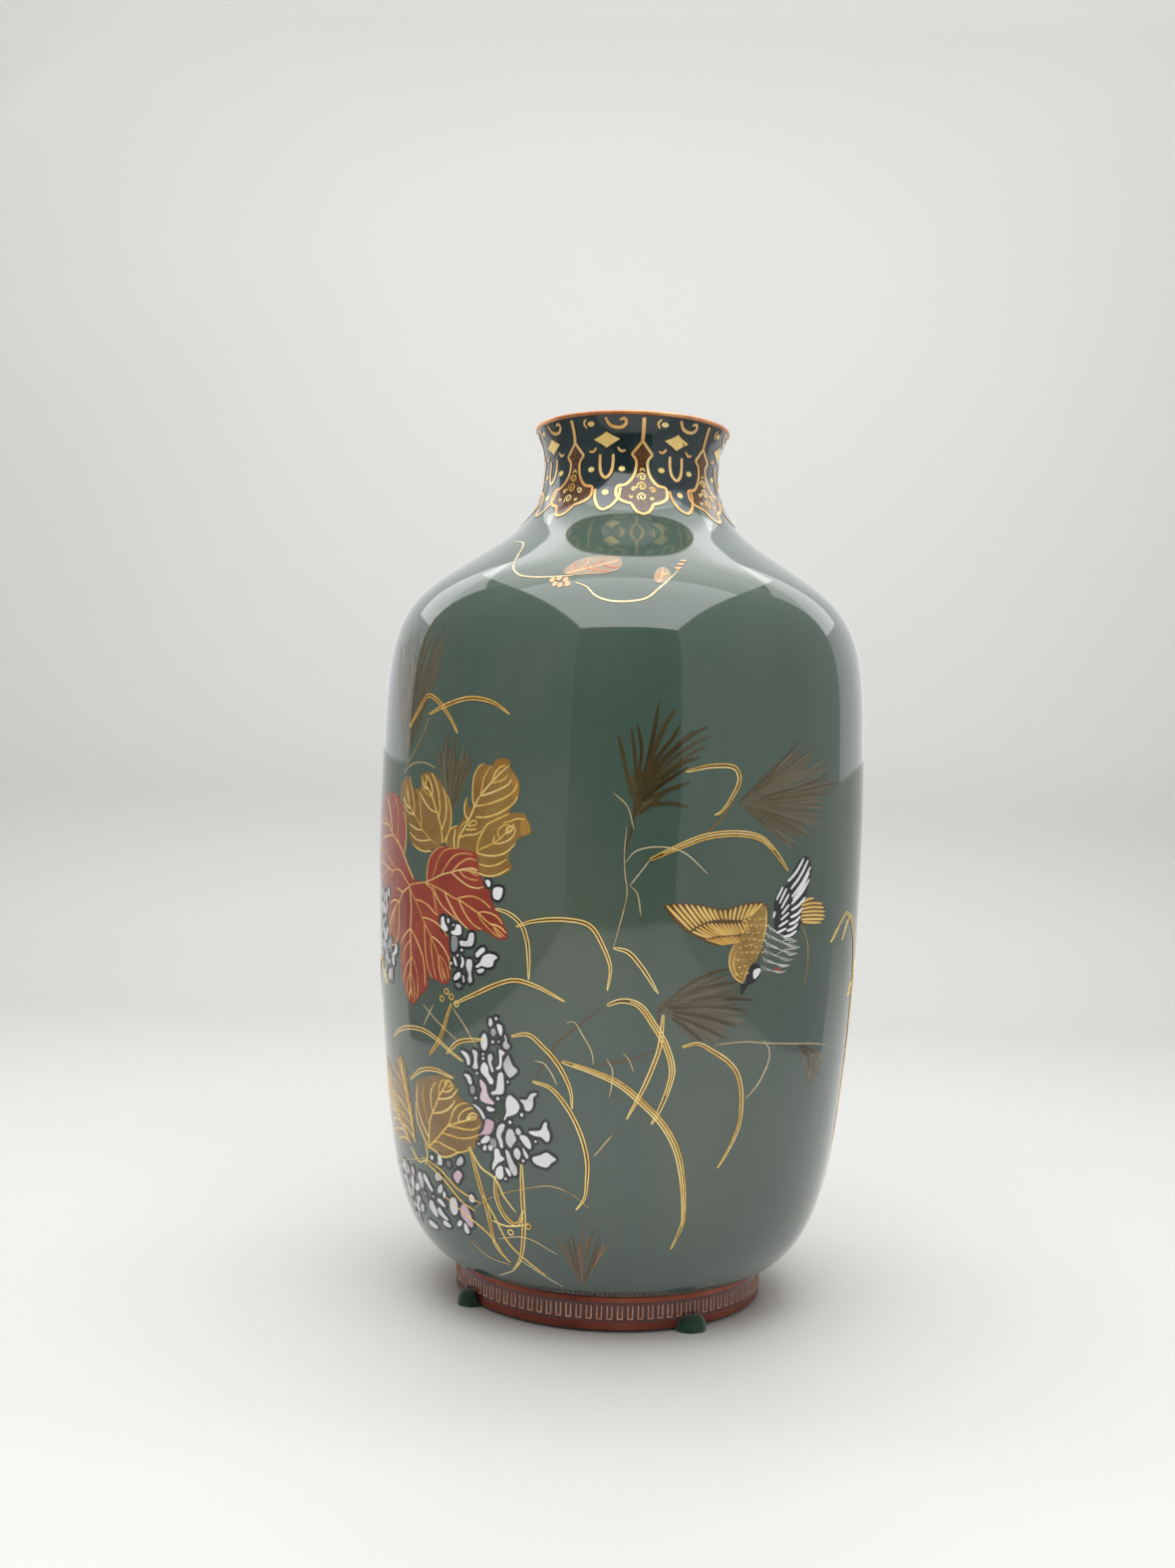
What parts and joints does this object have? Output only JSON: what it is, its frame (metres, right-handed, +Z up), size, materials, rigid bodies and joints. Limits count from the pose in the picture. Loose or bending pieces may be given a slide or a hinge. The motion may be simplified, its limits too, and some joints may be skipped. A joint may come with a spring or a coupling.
{
  "type": "cloisonne vase",
  "caption": "Tall shouldered enamelled metal vase with a flared neck, lappet collar, wire-outlined leaves, grasses and a bird, a ring foot with key fret, and pads.",
  "frame": {"origin": "centre of the vase at the surface that the pads stand on", "axes": "+Z up along the vase's axis; -Y faces the viewer, who sees the bird on the right and the leaves on the left; +X to that viewer's right"},
  "size_m": [0.1686, 0.1686, 0.3012],
  "materials": {
    "brown_enamel": "gloss golden brown enamel",
    "copper": "satin, lightly tarnished copper",
    "counter_enamel": "gloss vitreous enamel",
    "fret_enamel": "gloss red-brown enamel",
    "goldstone_enamel": "gloss brown enamel with fine metal flakes",
    "grass_enamel": "gloss orange-brown enamel",
    "ground_enamel": "gloss vitreous enamel, polished",
    "neck_enamel": "gloss vitreous enamel, polished",
    "pad_green": "matt, soft",
    "pale_enamel": "gloss pale enamel",
    "red_enamel": "gloss red-brown enamel",
    "rim_metal": "polished copper",
    "wire_gold": "polished gold-toned wire"
  },
  "bodies": {
    "root": {"base_counter_enamel": "counter_enamel", "base_plate": "copper", "bird_body_enamel": "brown_enamel", "bird_body_wires": "wire_gold", "bird_gold_wing_enamel": "brown_enamel", "bird_gold_wing_wires": "wire_gold", "bird_tail_enamel": "brown_enamel", "bird_tail_wires": "wire_gold", "bird_white_wing_enamel": "pale_enamel", "bird_white_wing_wires": "wire_gold", "body_ground_enamel": "ground_enamel", "copper_body_lower": "copper", "copper_body_shoulder": "copper", "copper_neck": "copper", "flower_petals_enamel": "pale_enamel", "flower_petals_wires": "wire_gold", "foot_enamel_band": "fret_enamel", "foot_fret_wires": "wire_gold", "foot_ring": "copper", "gold_leaf_enamel": "brown_enamel", "gold_leaf_wires": "wire_gold", "grass_blades_enamel": "grass_enamel", "grass_blades_wires": "wire_gold", "inner_body_enamel": "counter_enamel", "inner_floor_enamel": "counter_enamel", "inner_neck_enamel": "counter_enamel", "lower_leaves_enamel": "brown_enamel", "lower_leaves_wires": "wire_gold", "mouth_rim": "rim_metal", "neck_ground_enamel": "neck_enamel", "neck_lappets_enamel": "goldstone_enamel", "neck_lappets_wires": "wire_gold", "neck_tongues_enamel": "neck_enamel", "neck_tongues_wires": "wire_gold", "red_leaf_enamel": "red_enamel", "red_leaf_wires": "wire_gold", "shoulder_leaf_enamel": "pale_enamel", "shoulder_leaf_wires": "wire_gold", "stand_pad_1": "pad_green", "stand_pad_2": "pad_green", "stand_pad_3": "pad_green", "stand_pad_4": "pad_green"}
  },
  "joints": []
}
